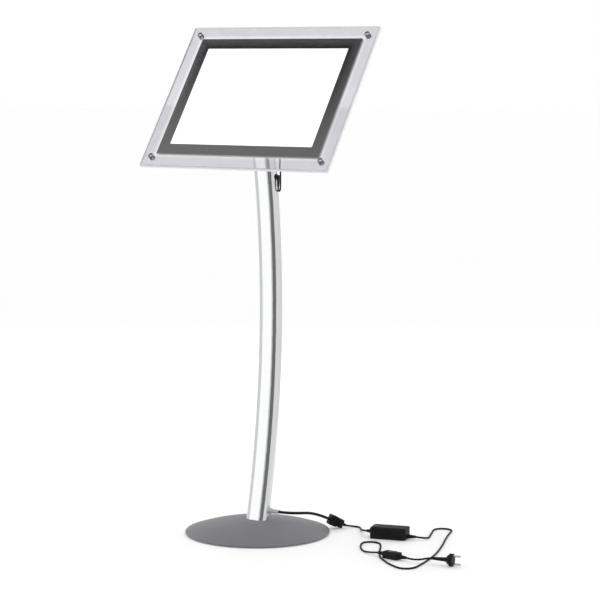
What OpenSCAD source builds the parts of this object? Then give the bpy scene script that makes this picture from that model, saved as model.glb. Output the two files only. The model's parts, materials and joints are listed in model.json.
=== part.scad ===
// Free-standing lit menu board: an edge-lit clear panel tilts on a bent flat-oval post over a domed base.
// The origin is on the floor under the centre of the base, X to the right, Y to the back, Z up.

/* [Light panel] */
// Width of the poster
poster_w = 420; // [360:1:520]
// Height of the poster
poster_h = 297; // [260:1:400]
// Thickness of the poster film
poster_t = 0.25; // [0.2:0.05:0.5]
// Lap of the dark border over each edge of the poster
poster_lap = 4.5; // [2:0.5:8]
// Width of the dark border
mask_border = 30; // [26:1:45]
// Thickness of the dark border film
mask_t = 0.25; // [0.2:0.05:0.5]
// Width of the clear edge outside the dark border
clear_edge = 36; // [32:1:60]
// Thickness of the clear front cover
cover_t = 3; // [2:0.5:5]
// Thickness of the light guide
guide_t = 8; // [7:0.5:12]
// Chamfer along the polished edges of the clear sheets
sheet_chamfer = 0.8; // [0.4:0.1:1.2]
// Thickness of the reflector film
reflector_t = 0.5; // [0.3:0.1:0.8]
// Lean of the panel back from upright
lean = 36; // [20:1:50]
// Height of the panel centre above the tilt axis, along the panel
pivot_drop = 42.5; // [36:0.5:60]

/* [Corner fixings] */
// Distance of a corner fixing from both edges of the sheet
cap_inset = 26; // [14:1:30]
// Diameter of a corner cap
cap_d = 13; // [10:0.5:18]
// Height of a corner cap
cap_h = 6; // [5:0.5:9]
// Grip flutes round a corner cap
cap_flutes = 18; // [12:1:24]
// Diameter of the threaded stud under a cap
stud_d = 7; // [5:0.5:8]

/* [Lamps] */
// Lamps on each strip
led_count = 24; // [8:1:36]
// Distance from the window edge to the lamp slot
led_offset = 10; // [6:1:14]
// Width of the slot that holds a lamp strip
led_slot_w = 5; // [4:0.5:7]

/* [Rear cover] */
// Depth of the rear cover behind the light guide
tray_d = 9; // [8:0.5:14]
// Wall of the rear cover
tray_wall = 1.5; // [1:0.1:2.5]
// Width of the flat flange round the rear cover
tray_flange = 12; // [9:0.5:16]

/* [Tilt bracket] */
// Width of the bracket plate
plate_w = 120; // [90:1:160]
// Height of the bracket plate
plate_h = 92; // [80:1:120]
// Thickness of the bracket plate
plate_t = 3; // [2:0.5:5]
// Thickness of each ear
ear_t = 4; // [3:0.5:6]
// Distance from the plate to the tilt axis
pivot_gap = 22; // [20:1:30]
// Diameter of the pivot bolt
pivot_d = 8; // [6:1:10]
// Thickness of each friction washer
washer_t = 1.5; // [1:0.1:2.5]

/* [Post] */
// Width of the flat-oval tube
post_w = 60; // [54:1:76]
// Depth of the flat-oval tube
post_d = 34; // [30:1:40]
// Wall of the tube
post_wall = 2; // [1.5:0.1:3]
// Radius of the bend
post_bend_r = 2330; // [2000:5:2800]
// Lean of the tube back at its foot
foot_lean = 13.35; // [11:0.05:15]
// Height of the tilt axis
pivot_z = 1024; // [980:1:1060]
// Height of the upper cable hole
upper_hole_z = 887; // [860:1:900]
// Height of the lower cable hole
lower_hole_z = 58; // [56:1:70]

/* [Base] */
// Diameter of the base
base_d = 360; // [330:1:400]
// Height of the base at its middle
base_h = 35; // [32:1:37]
// Sheet thickness of the domed cover
base_wall = 2; // [1.2:0.1:3]
// Diameter of the rolled rim
rim_d = 5; // [5:0.5:8]
// Diameter of the flat on top of the dome
base_flat_d = 92; // [84:1:110]
// Height of the rubber feet
foot_h = 3; // [2:0.5:5]
// Diameter of the rubber feet
foot_d = 24; // [16:1:32]
// Number of rubber feet
foot_count = 6; // [4:1:10]

/* [Power pack] */
// Length of the power pack
pack_l = 92; // [84:1:100]
// Width of the power pack
pack_w = 44; // [38:1:50]
// Height of the power pack
pack_h = 30; // [28:1:34]
// Wall of the power pack
pack_wall = 2; // [1.5:0.1:3]

/* [Switch and plug] */
// Length of the switch body
switch_l = 46; // [44:1:52]
// Width of the switch body
switch_w = 23; // [22:1:28]
// Height of the switch body
switch_h = 18; // [18:0.5:20]
// Length of the rocker
rocker_l = 19; // [16:0.5:20]
// Width of the rocker
rocker_w = 11; // [9:0.5:13]
// Swing of the rocker to either side
rocker_swing = 7; // [5:0.5:8]
// Diameter of the plug head
plug_d = 30; // [28:1:36]
// Diameter of a plug pin
pin_d = 4.8; // [4:0.1:5]
// Spacing of the plug pins
pin_pitch = 19; // [18:0.1:19.2]
// Length of a plug pin
pin_l = 19; // [18:0.5:20]

/* [Hidden] */

// Fits and small allowances
run_gap = 0.3;
bore_gap = 0.1;
slide_gap = 0.15;
eps = 0.05;
over = 1;

// Sizes of the panel's layers, measured back from the front face
window_w = poster_w - 2 * poster_lap;
window_h = poster_h - 2 * poster_lap;
mask_w = window_w + 2 * mask_border;
mask_h = window_h + 2 * mask_border;
sheet_w = mask_w + 2 * clear_edge;
sheet_h = mask_h + 2 * clear_edge;
film_t = mask_t + poster_t;
guide_front = -cover_t - film_t;
guide_back = guide_front - guide_t;
tray_back = guide_back - tray_d;
plate_back = tray_back - plate_t;
pivot_back = plate_back - pivot_gap;

// Line of the post: a circle arc in the YZ plane that starts on top of the base
arc_z = base_h + post_bend_r * sin(foot_lean);
arc_y = -post_bend_r * cos(foot_lean);
function arc_angle(z) = asin((z - arc_z) / post_bend_r);
function arc_point(z) = arc_y + post_bend_r * cos(arc_angle(z));
pivot_angle = arc_angle(pivot_z);
pivot_y = arc_point(pivot_z);
head_reach = 34;
flange_t = 4;
head_plug_l = 45;
head_screw_x = 8;
post_top_angle = pivot_angle - head_reach / post_bend_r * 180 / PI;
head_plug_angle = head_plug_l / post_bend_r * 180 / PI;
arc_fn = 720;

// Tilt joint
knuckle_inset = 16;
knuckle_w = post_w - 2 * knuckle_inset;
knuckle_r = 13;
washer_r = 12;
ear_inner = knuckle_w / 2 + run_gap + washer_t;
ear_outer = ear_inner + ear_t;
bolt_head_r = 7;
bolt_head_h = 4.5;
nut_af = 13;
nut_h = 7;
bolt_end = 2;

// Fixing screws
screw_r = 2.5;
screw_l = 11;
screw_head_r = 4.6;
screw_head_h = 3;
screw_edge = 12;
small_r = 1.5;
small_l = 6;
small_head_r = 2.9;
small_head_h = 1.8;
small_edge = tray_flange / 2;

// Panel details
slot_skin = 1.5;
slot_depth = guide_t - slot_skin;
strip_end = 3;
strip_l = window_w - 2 * strip_end;
strip_t = 1;
strip_play = 1;
strip_w = slot_depth - strip_play;
led_w = 3.5;
led_t = 0.8;
stud_flange_r = 7;
stud_flange_t = 2;
stud_rise = 3.6;
cap_play = 0.4;
cap_bore_h = stud_rise + cap_play;
spacer_r = 6.5;
tray_draft = 4;
boss_r = 5;
panel_gland_at = [50, -10];
gland_flange_r = 8;
gland_flange_t = 2.5;
gland_r = 6;
gland_l = 14;
panel_lead_d = 4;
board_size = [64, 26, 1.6];
board_at = [96, -4];
notch_gap = 1.5;

// Base details: one sphere gives the dome, the cover's inside and the weight
rim_r = rim_d / 2;
rim_x = base_d / 2 - rim_r;
rim_lift = 2;
rim_z = rim_lift + rim_r;
dome_top = rim_z + rim_r;
flat_r = base_flat_d / 2;
dome_z = (base_h + dome_top - (rim_x * rim_x - flat_r * flat_r) / (base_h - dome_top)) / 2;
dome_r = norm([flat_r, base_h - dome_z]);
weight_gap = 1;
weight_inset = 14;
weight_r = base_d / 2 - weight_inset;
foot_ring_r = weight_r - foot_d;
post_bolt_d = 8;
post_bolt_x = 15;
post_bolt_head_r = 6.5;
post_bolt_head_h = 8;
counterbore_r = 8;
counterbore_h = 9;
foot_block_h = 14;

// Cable fittings on the post
post_lead_d = 5;
tail_d = 7;
lead_d = 4.6;
upper_stem_r = 4.8;
upper_flange_r = 7;
upper_flange_t = 1.5;
jack_floor = 1;
barrel_d = 5.5;
elbow_d = 9;
elbow_l = 8;
elbow_relief_l = 24;
elbow_relief_r = 4;
lower_stem_r = 5.8;
lower_flange_r = 8;
lower_gland_l = 30;
lower_tip_r = 4.8;
lead_turn = 12;
lead_stub = 3;
hole_fn = 48;

// Places of the pieces that lie on the floor
coupling_at = [140, 145, 18];
coupling_turn = 50;
coupling_pitch = 24;
socket_size = [22, 28, 26];
coupling_plug_size = [16, 24, 22];
coupling_relief_l = 10;
pack_at = [312, 119];
pack_turn = 14;
pack_relief_out = 20;
pack_relief_in = 14;
pack_out_z = 8;
pack_in_z = 15;
switch_at = [427, -71];
switch_turn = -9;
switch_axis_z = 9;
switch_relief_l = 20;
plug_at = [531.5, -71.5];
plug_turn = 10;
plug_neck_l = 40;
plug_head_l = 15;
pin_step = 0.6;
pin_root_r = pin_d / 2 - pin_step;
pin_root_l = 10;
relief_wall = 1;
pack_lens_x = 36;
pack_lens_d = 4;
switch_wall = 2;
switch_edge = 5;
switch_split = 9;
rocker_pin_r = 1.5;
rocker_pin_drop = 3.5;
rocker_pin_z = switch_h - rocker_pin_drop;
cheek_t = 2;
cheek_h = 5;
rocker_side = 0.5;

// Routes of the cords, in the order in which they leave the panel and the post
panel_lead_route = [
    [50, 30.1, 1056.3], [50, 36.5, 1051.6], [50, 41, 1045], [50, 43, 1036], [48.6, 44, 1020],
    [46.4, 45.2, 1000], [43.9, 46.7, 980], [41.2, 48.6, 960], [38.3, 51, 940], [35.4, 53.8, 920],
    [32.8, 56.8, 900], [31, 59.2, 882], [30.3, 60.2, 868], [30.2, 60.2, 861], [30.6, 59, 856.2],
    [31.5, 55.6, 852.7], [32.9, 51, 851.4], [34.3, 46.3, 852.7], [35.2, 42.9, 856.2],
    [35.6, 41.7, 861], [35.6, 41.7, 862.8]
];
post_tail_route = [
    [60.2, 5.4, 58], [68, 5.4, 58], [76.8, 6.6, 58], [85, 10, 57.6], [92, 15.4, 57], [97.4, 22.4, 56.2],
    [101, 31, 55.1], [104.8, 45, 53.2], [108.2, 60, 51], [110.5, 73.2, 48.3], [112.5, 86.4, 44.7],
    [114.7, 99.2, 40.5], [117.9, 111.4, 35.8], [122.7, 122.7, 30.6], [128.6, 131.4, 25.9]
];
pack_lead_route = [
    [157.1, 165.4, 6.1], [163, 172, 4.4], [170, 178, 3], [178, 181, 2.4], [186.5, 180, 2.4],
    [194, 174.5, 2.4], [201, 166.5, 2.4], [207.5, 156.5, 2.8], [214, 146.5, 4.2], [220.5, 136.5, 6.4],
    [226.5, 127, 9], [232.5, 118.5, 11.6], [238, 111, 13.6], [245, 105.5, 14.7], [253.5, 104.2, 14.9]
];
mains_lead_route = [
    [376.2, 135, 8], [381.6, 136.5, 7.5], [389.4, 140.7, 6.5], [395.1, 147.8, 5.2], [397.3, 156.8, 3.9],
    [395.5, 166.3, 2.8], [391.5, 176.7, 2.4], [378, 211.5, 2.4], [368.5, 236, 2.4], [364, 247.5, 2.4],
    [362.7, 259.1, 2.4], [367.5, 270, 2.4], [377.2, 277, 2.4], [389, 278.2, 2.4], [399.9, 273.4, 2.4],
    [407.2, 263, 2.4], [410.7, 251.5, 2.4], [430, 195, 2.4], [470, 93, 2.4], [500, 0, 2.4],
    [519, -108, 2.4], [520, -123.5, 2.4], [517, -137, 2.4], [508.5, -147, 2.4], [497, -150.5, 2.4],
    [485.5, -148, 2.4], [457, -131, 2.4], [425, -105, 2.4], [399, -78.5, 2.4], [376, -42, 2.4],
    [330, 40.5, 2.4], [319, 50, 2.4], [306, 53, 2.4], [294, 48, 2.4], [287, 37, 2.4], [288, 23.5, 2.4],
    [308.5, -16, 2.4], [332, -43, 2.4], [356, -57, 5], [384.3, -64.3, 9]
];
plug_lead_route = [
    [469.7, -77.8, 9], [474.2, -78.5, 8.8], [478.7, -79.1, 8.7], [483.2, -79.6, 8.6],
    [487.7, -79.9, 8.6], [492.2, -80, 8.7], [496.7, -79.9, 9], [501.2, -79.4, 9.4], [505.6, -78.8, 10],
    [510, -77.8, 10.8], [514.2, -76.6, 11.8], [518.5, -75.3, 12.8], [522.7, -74.1, 13.6],
    [527, -72.8, 14.3], [531.3, -71.5, 15]
];

// Rectangle with round corners, centred
module round_rect(size, r) {
    square([size[0] - 2 * r, size[1]], center = true);
    square([size[0], size[1] - 2 * r], center = true);
    for (x = [-1, 1], y = [-1, 1])
        translate([x * (size[0] / 2 - r), y * (size[1] / 2 - r)])
            circle(r = r, $fn = 48);
}

// Flat oval, its long side along Y
module flat_oval(w, d) {
    square([d, w - d], center = true);
    for (s = [-1, 1])
        translate([0, s * (w - d) / 2])
            circle(d = d, $fn = 96);
}

// Sweeps a cross-section along the line of the post between two angles of its arc
module along_post(a_from, a_to) {
    translate([0, arc_y, arc_z])
        rotate([90, 0, 90])
            rotate([0, 0, a_from])
                rotate_extrude(angle = a_to - a_from, $fn = arc_fn)
                    translate([post_bend_r, 0])
                        children();
}

// Places children on the line of the post at an angle of its arc, X across, Y to the back, Z along the post
module at_post(a) {
    translate([0, arc_y, arc_z])
        rotate([a, 0, 0])
            translate([0, post_bend_r, 0])
                children();
}

// Places children in the panel's frame: centre of its front face, X along, Y up the panel, Z to the viewer
module on_panel() {
    translate([0, pivot_y, pivot_z])
        rotate([90 - lean, 0, 0])
            translate([0, pivot_drop, -pivot_back])
                children();
}

// Places children on the tilt axis, with Z along X of the object
module on_pivot() {
    translate([0, pivot_y, pivot_z])
        rotate([0, 90, 0])
            children();
}

// Sheet with chamfered long edges, its front face at z = 0
module chamfer_sheet(w, h, t, front, back) {
    intersection() {
        rotate([90, 0, 90])
            linear_extrude(w, center = true)
                polygon([
                    [-h / 2 + front, 0], [h / 2 - front, 0], [h / 2, -front], [h / 2, -t + back],
                    [h / 2 - back, -t], [-h / 2 + back, -t], [-h / 2, -t + back], [-h / 2, -front]
                ]);
        rotate([90, 0, 0])
            linear_extrude(h, center = true)
                polygon([
                    [-w / 2 + front, 0], [w / 2 - front, 0], [w / 2, -front], [w / 2, -t + back],
                    [w / 2 - back, -t], [-w / 2 + back, -t], [-w / 2, -t + back], [-w / 2, -front]
                ]);
    }
}

// Pan with sloping sides: full size at z = 0, smaller by the draft at its back
module pan(w, h, depth, draft) {
    intersection() {
        rotate([90, 0, 90])
            linear_extrude(w, center = true)
                polygon([[-h / 2, 0], [h / 2, 0], [h / 2 - draft, -depth], [-h / 2 + draft, -depth]]);
        rotate([90, 0, 0])
            linear_extrude(h, center = true)
                polygon([[-w / 2, 0], [w / 2, 0], [w / 2 - draft, -depth], [-w / 2 + draft, -depth]]);
    }
}

// Block with edges rounded in all three directions, standing on z = 0
module soft_block(size, r) {
    translate([0, 0, size[2] / 2])
        intersection() {
            linear_extrude(size[2], center = true)
                round_rect([size[0], size[1]], r);
            rotate([90, 0, 0])
                linear_extrude(size[1], center = true)
                    round_rect([size[0], size[2]], r);
            rotate([90, 0, 90])
                linear_extrude(size[0], center = true)
                    round_rect([size[1], size[2]], r);
        }
}

// Ring with a plain bore
module ring(r_out, r_in, h) {
    difference() {
        cylinder(r = r_out, h = h, $fn = 64);
        translate([0, 0, -over])
            cylinder(r = r_in, h = h + 2 * over, $fn = 64);
    }
}

// Pan-head screw: shank up from z = 0, head below it with a driver recess
module screw(r, l, head_r, head_h) {
    crown = 0.8 * head_r;
    recess_r = 0.45 * head_r;
    recess_h = 0.6 * head_h;
    cylinder(r = r, h = l, $fn = 32);
    difference() {
        translate([0, 0, -head_h])
            cylinder(r1 = crown, r2 = head_r, h = head_h, $fn = 48);
        translate([0, 0, -head_h - over])
            cylinder(r = recess_r, h = recess_h + over, $fn = 6);
    }
}

// Tapered strain relief with grooves, from z = 0 up
module relief(r_base, r_tip, l, r_bore) {
    grooves = 4;
    groove_share = 0.4;
    pitch = l / (grooves + 1);
    groove_w = groove_share * pitch;
    groove_d = (r_tip - r_bore) / 2;
    difference() {
        cylinder(r1 = r_base, r2 = r_tip, h = l, $fn = 48);
        translate([0, 0, -over])
            cylinder(r = r_bore, h = l + 2 * over, $fn = 48);
        for (i = [1 : grooves])
            translate([0, 0, i * pitch])
                ring(r_base + over, r_base + (r_tip - r_base) * i * pitch / l - groove_d, groove_w);
    }
}

// Points of a smooth line through the route, with a number of steps between points
function curve_point(a, b, c, d, t) =
    let (
        ab = sqrt(norm(b - a)), bc = sqrt(norm(c - b)), cd = sqrt(norm(d - c)),
        leave = c - b + bc * ((b - a) / ab - (c - a) / (ab + bc)),
        arrive = c - b + bc * ((d - c) / cd - (d - b) / (bc + cd)),
        t2 = t * t,
        t3 = t2 * t
    )
    (2 * t3 - 3 * t2 + 1) * b + (t3 - 2 * t2 + t) * leave + (3 * t2 - 2 * t3) * c + (t3 - t2) * arrive;
function smooth_route(p, steps) =
    let (n = len(p) - 1, q = concat([2 * p[0] - p[1]], p, [2 * p[n] - p[n - 1]]))
    concat(
        [for (i = [0 : n - 1], s = [0 : steps - 1])
            curve_point(q[i], q[i + 1], q[i + 2], q[i + 3], s / steps)],
        [p[n]]
    );
function unit(v) = v / norm(v);
function tangents(p) = [for (i = [0 : len(p) - 1]) unit(p[min(i + 1, len(p) - 1)] - p[max(i - 1, 0)])];
function square_to(v, t) = unit(v - (v * t) * t);
function first_side(t) = square_to(abs(t[2]) < 0.9 ? [0, 0, 1] : [0, 1, 0], t);
function carried(t) = [
    for (i = 0, s = first_side(t[0]); i < len(t); i = i + 1, s = square_to(s, t[min(i, len(t) - 1)])) s
];

// Round cord along a route
module cord(route, d, sides, steps = 3) {
    p = smooth_route(route, steps);
    t = tangents(p);
    s = carried(t);
    n = len(p);
    rings = [
        for (i = [0 : n - 1], k = [0 : sides - 1])
            let (a = 360 * k / sides, b = cross(t[i], s[i]))
            p[i] + d / 2 * (cos(a) * s[i] + sin(a) * b)
    ];
    walls = [
        for (i = [0 : n - 2], k = [0 : sides - 1], half = [0, 1])
            let (k2 = (k + 1) % sides, a = i * sides, b = a + sides)
            half == 0 ? [a + k, b + k, b + k2] : [a + k, b + k2, a + k2]
    ];
    first_cap = [for (k = [0 : sides - 1]) k];
    last_cap = [for (k = [sides - 1 : -1 : 0]) (n - 1) * sides + k];
    polyhedron(points = rings, faces = concat([first_cap], walls, [last_cap]));
}

// Base
module dome(shrink, r_max, z_low, z_high) {
    intersection() {
        translate([0, 0, z_low])
            cylinder(r = r_max, h = z_high - z_low, $fn = 180);
        translate([0, 0, dome_z])
            sphere(r = dome_r - shrink, $fn = 360);
    }
}

module post_bolt_places() {
    for (s = [-1, 1])
        translate([s * post_bolt_x, 0, 0])
            children();
}

module base_cover() {
    color("#8a8a92")
        difference() {
            union() {
                dome(0, rim_x, rim_z, base_h);
                translate([0, 0, rim_z])
                    rotate_extrude($fn = 180)
                        translate([rim_x, 0])
                            circle(r = rim_r, $fn = 32);
            }
            dome(base_wall, rim_x - rim_r, rim_z - over, base_h - base_wall);
            translate([0, 0, rim_z - rim_r - over])
                cylinder(r = rim_x - rim_r, h = rim_r + 2 * over, $fn = 180);
            post_bolt_places()
                cylinder(r = post_bolt_d / 2 + bore_gap, h = base_h + over, $fn = 48);
        }
}

module base_weight() {
    color("#4a4a4e")
        difference() {
            dome(base_wall + weight_gap, weight_r, foot_h, base_h - base_wall);
            post_bolt_places() {
                cylinder(r = post_bolt_d / 2 + bore_gap, h = base_h, $fn = 48);
                translate([0, 0, foot_h - over])
                    cylinder(r = counterbore_r, h = counterbore_h + over, $fn = 48);
            }
        }
}

module base_feet() {
    foot_chamfer = foot_h / 4;
    color("#26262a")
        for (i = [0 : foot_count - 1])
            rotate([0, 0, i * 360 / foot_count])
                translate([foot_ring_r, 0, 0]) {
                    cylinder(r1 = foot_d / 2 - foot_chamfer, r2 = foot_d / 2, h = foot_chamfer, $fn = 48);
                    translate([0, 0, foot_chamfer])
                        cylinder(d = foot_d, h = foot_h - foot_chamfer, $fn = 48);
                }
}

module post_bolts() {
    head_z = foot_h + counterbore_h - post_bolt_head_h;
    shank_z = foot_h + counterbore_h;
    shank_l = base_h + foot_block_h - over - shank_z;
    socket_af = post_bolt_head_r;
    color("#9a9aa0")
        post_bolt_places() {
            difference() {
                translate([0, 0, head_z])
                    cylinder(r = post_bolt_head_r, h = post_bolt_head_h, $fn = 48);
                translate([0, 0, head_z - over])
                    cylinder(d = socket_af, h = post_bolt_head_h / 2 + over, $fn = 6);
            }
            translate([0, 0, shank_z])
                cylinder(d = post_bolt_d, h = shank_l, $fn = 48);
        }
}

// Post
module below(z) {
    translate([0, 0, z - post_w])
        cube([2 * post_w, 4 * post_w, 2 * post_w], center = true);
}

module above(z) {
    translate([0, 0, z + post_w])
        cube([2 * post_w, 4 * post_w, 2 * post_w], center = true);
}

module side_hole(z, r) {
    translate([0, arc_point(z), z])
        rotate([0, 90, 0])
            cylinder(r = r, h = post_w, $fn = hole_fn);
}

module foot_block() {
    inside_w = post_w - 2 * post_wall - 2 * slide_gap;
    inside_d = post_d - 2 * post_wall - 2 * slide_gap;
    color("#a9abb0")
        difference() {
            along_post(arc_angle(base_h - post_d), arc_angle(base_h + 2 * foot_block_h))
                flat_oval(inside_w, inside_d);
            below(base_h);
            above(base_h + foot_block_h);
            post_bolt_places()
                cylinder(r = post_bolt_d / 2 + bore_gap, h = base_h + 2 * foot_block_h, $fn = 48);
        }
}

module post_tube() {
    color("#d9dadd")
        difference() {
            along_post(arc_angle(base_h - post_d), post_top_angle)
                difference() {
                    flat_oval(post_w, post_d);
                    flat_oval(post_w - 2 * post_wall, post_d - 2 * post_wall);
                }
            below(base_h);
            side_hole(upper_hole_z, upper_stem_r + slide_gap);
            side_hole(lower_hole_z, lower_stem_r + slide_gap);
            head_screw_places()
                cylinder(r = small_r + bore_gap, h = post_d, $fn = 32);
        }
}

module head_screw_places() {
    a = post_top_angle - head_plug_angle / 2;
    at_post(a)
        for (s = [-1, 1])
            translate([s * head_screw_x, 0, 0])
                rotate([-90, 0, 0])
                    children();
}

module post_head() {
    inside_w = post_w - 2 * post_wall - 2 * slide_gap;
    inside_d = post_d - 2 * post_wall - 2 * slide_gap;
    neck_foot = 15;
    neck_low = flange_t / 2 - head_reach;
    neck_top = knuckle_r - over;
    neck = [[-neck_foot, neck_low], [neck_foot, neck_low], [neck_top, 0], [-neck_top, 0]];
    color("#b9bbc0")
        difference() {
            union() {
                at_post(post_top_angle - head_plug_angle / 2)
                    translate([0, 0, -head_plug_l / 2])
                        rotate([0, 0, 90])
                            linear_extrude(head_plug_l + flange_t / 2)
                                flat_oval(inside_w, inside_d);
                at_post(post_top_angle)
                    rotate([0, 0, 90])
                        linear_extrude(flange_t)
                            flat_oval(post_w, post_d);
                translate([0, pivot_y, pivot_z])
                    rotate([pivot_angle, 0, 0])
                        rotate([90, 0, 90])
                            linear_extrude(knuckle_w - 2 * over, center = true)
                                polygon(neck);
                on_pivot()
                    cylinder(r = knuckle_r, h = knuckle_w, center = true, $fn = 96);
            }
            on_pivot()
                cylinder(r = pivot_d / 2 + bore_gap, h = knuckle_w + 2 * over, center = true, $fn = 64);
            head_screw_places()
                cylinder(r = small_r + bore_gap, h = post_d, $fn = 32);
        }
}

module head_screws() {
    color("#8d8f94")
        head_screw_places()
            translate([0, 0, post_d / 2])
                mirror([0, 0, 1])
                    screw(small_r, small_l, small_head_r, small_head_h);
}

module post_outside(gap) {
    along_post(arc_angle(base_h), post_top_angle)
        flat_oval(post_w + 2 * gap, post_d + 2 * gap);
}

module side_fitting(z) {
    translate([post_w / 2, arc_point(z), z])
        rotate([0, 90, 0])
            children();
}

// Jack in the side of the post, and the elbow plug of the panel's lead in it
module upper_jack() {
    saddle = post_d / 4;
    color("#1c1c1e")
        difference() {
            union() {
                difference() {
                    side_fitting(upper_hole_z)
                        translate([0, 0, -saddle])
                            cylinder(r = upper_flange_r, h = saddle + upper_flange_t, $fn = 48);
                    post_outside(slide_gap);
                }
                side_fitting(upper_hole_z)
                    translate([0, 0, -2 * post_wall])
                        cylinder(r = upper_stem_r, h = 2 * post_wall + upper_flange_t, $fn = 48);
            }
            side_fitting(upper_hole_z)
                translate([0, 0, jack_floor - 2 * post_wall])
                    cylinder(d = barrel_d + 2 * bore_gap, h = post_w, $fn = 48);
        }
}

module jack_plug() {
    barrel_l = 2 * post_wall + upper_flange_t - jack_floor;
    tip_r = panel_lead_d / 2 + relief_wall;
    color("#1c1c1e")
        side_fitting(upper_hole_z)
            translate([0, 0, upper_flange_t + slide_gap]) {
                translate([0, 0, -barrel_l])
                    cylinder(d = barrel_d, h = barrel_l + over, $fn = 48);
                cylinder(d = elbow_d, h = elbow_l, $fn = 48);
                translate([0, 0, elbow_l / 2])
                    rotate([0, 90, 0])
                        relief(elbow_relief_r, tip_r, elbow_relief_l, panel_lead_d / 2);
            }
}

module lower_gland() {
    saddle = post_d / 4;
    nut_t = 6;
    color("#c9cacd")
        difference() {
            union() {
                difference() {
                    side_fitting(lower_hole_z)
                        translate([0, 0, -saddle])
                            cylinder(r = lower_flange_r, h = saddle + nut_t, $fn = 48);
                    post_outside(slide_gap);
                }
                side_fitting(lower_hole_z)
                    translate([0, 0, -2 * post_wall])
                        cylinder(r = lower_stem_r, h = 2 * post_wall + nut_t, $fn = 48);
                side_fitting(lower_hole_z)
                    translate([0, 0, nut_t])
                        relief(lower_stem_r, lower_tip_r, lower_gland_l - nut_t, tail_d / 2 + bore_gap);
            }
            side_fitting(lower_hole_z)
                translate([0, 0, -post_w / 2])
                    cylinder(d = tail_d + 2 * bore_gap, h = 2 * post_w, $fn = 48);
        }
}

// Lead inside the post, from the jack down to the lower gland
module post_lead() {
    hole_x = post_w / 2 - 2 * post_wall - run_gap;
    lead_x = hole_x - lead_stub - lead_turn;
    runs = 16;
    low = lower_hole_z + lead_turn;
    high = upper_hole_z - lead_turn;
    step = 30;
    upper_turn = [
        for (a = [0 : step : 90 - step])
            let (z = high + lead_turn * cos(a))
            [lead_x + lead_turn * (1 - sin(a)), arc_point(z), z]
    ];
    lower_turn = [
        for (a = [step : step : 90])
            let (z = low - lead_turn * sin(a))
            [lead_x + lead_turn * (1 - cos(a)), arc_point(z), z]
    ];
    straight = [
        for (i = [0 : runs])
            let (z = high + (low - high) * i / runs)
            [lead_x, arc_point(z), z]
    ];
    route = concat(
        [[hole_x, arc_point(upper_hole_z), upper_hole_z]], upper_turn, straight, lower_turn,
        [[hole_x + eps, arc_point(lower_hole_z), lower_hole_z]]
    );
    color("#2a2a2c")
        cord(route, post_lead_d, 8);
}

// Tilt joint on the back of the panel
module bracket_screw_places() {
    for (x = [-1, 1], y = [-1, 1])
        translate([x * (plate_w / 2 - screw_edge), y * (plate_h / 2 - screw_edge), 0])
            children();
}

module tilt_bracket() {
    ear_l = 54;
    ear_low = -plate_h / 2;
    ear_root = plate_back + eps;
    corner_r = 8;
    color("#9fa2a8")
        on_panel()
            difference() {
                union() {
                    translate([0, 0, plate_back])
                        linear_extrude(plate_t)
                            round_rect([plate_w, plate_h], corner_r);
                    for (s = [-1, 1])
                        translate([s * (ear_inner + ear_t / 2), 0, 0])
                            rotate([90, 0, 90])
                                linear_extrude(ear_t, center = true)
                                    union() {
                                        translate([-pivot_drop, pivot_back])
                                            circle(r = washer_r, $fn = 96);
                                        polygon([
                                            [-pivot_drop - washer_r, pivot_back], [ear_low, ear_root],
                                            [ear_low + ear_l, ear_root], [-pivot_drop + washer_r, pivot_back]
                                        ]);
                                    }
                }
                translate([0, -pivot_drop, pivot_back])
                    rotate([0, 90, 0])
                        cylinder(r = pivot_d / 2 + bore_gap, h = plate_w, center = true, $fn = 64);
                bracket_screw_places()
                    translate([0, 0, plate_back - over])
                        cylinder(r = screw_r + bore_gap, h = plate_t + 2 * over, $fn = 32);
                translate([panel_gland_at[0], panel_gland_at[1], plate_back - over])
                    linear_extrude(plate_t + 2 * over)
                        cable_notch();
            }
}

// Notch in the bracket plate, open to the side, for the gland of the panel's lead
module cable_notch() {
    notch_r = gland_flange_r + notch_gap;
    circle(r = notch_r, $fn = 64);
    translate([0, -notch_r])
        square([plate_w, 2 * notch_r]);
}

module friction_washers() {
    color("#3a3a3d")
        on_pivot()
            for (s = [-1, 1])
                translate([0, 0, s * (ear_inner - washer_t / 2) - washer_t / 2])
                    ring(washer_r, pivot_d / 2 + bore_gap, washer_t);
}

module pivot_bolt() {
    socket_af = 5;
    shank_l = 2 * ear_outer + nut_h + bolt_end;
    color("#c4c6ca")
        on_pivot()
            difference() {
                union() {
                    translate([0, 0, ear_outer])
                        intersection() {
                            cylinder(r = bolt_head_r, h = bolt_head_h, $fn = 64);
                            translate([0, 0, bolt_head_h - 2 * bolt_head_r])
                                sphere(r = 2 * bolt_head_r, $fn = 96);
                        }
                    translate([0, 0, ear_outer - shank_l])
                        cylinder(d = pivot_d, h = shank_l + over, $fn = 64);
                }
                translate([0, 0, ear_outer + bolt_head_h / 2])
                    cylinder(d = socket_af, h = bolt_head_h, $fn = 6);
            }
}

module pivot_nut() {
    hex_share = 0.7;
    collar_step = 0.6;
    hex_h = hex_share * nut_h;
    collar_r = nut_af / 2 - collar_step;
    color("#c4c6ca")
        on_pivot()
            translate([0, 0, -ear_outer - nut_h])
                difference() {
                    union() {
                        translate([0, 0, nut_h - hex_h])
                            cylinder(d = nut_af / cos(30), h = hex_h, $fn = 6);
                        cylinder(r = collar_r, h = nut_h, $fn = 64);
                    }
                    translate([0, 0, -over])
                        cylinder(r = pivot_d / 2 + bore_gap, h = nut_h + 2 * over, $fn = 64);
                }
}

module bracket_screws() {
    color("#8d8f94")
        on_panel()
            bracket_screw_places()
                translate([0, 0, plate_back])
                    screw(screw_r, screw_l, screw_head_r, screw_head_h);
}

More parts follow.
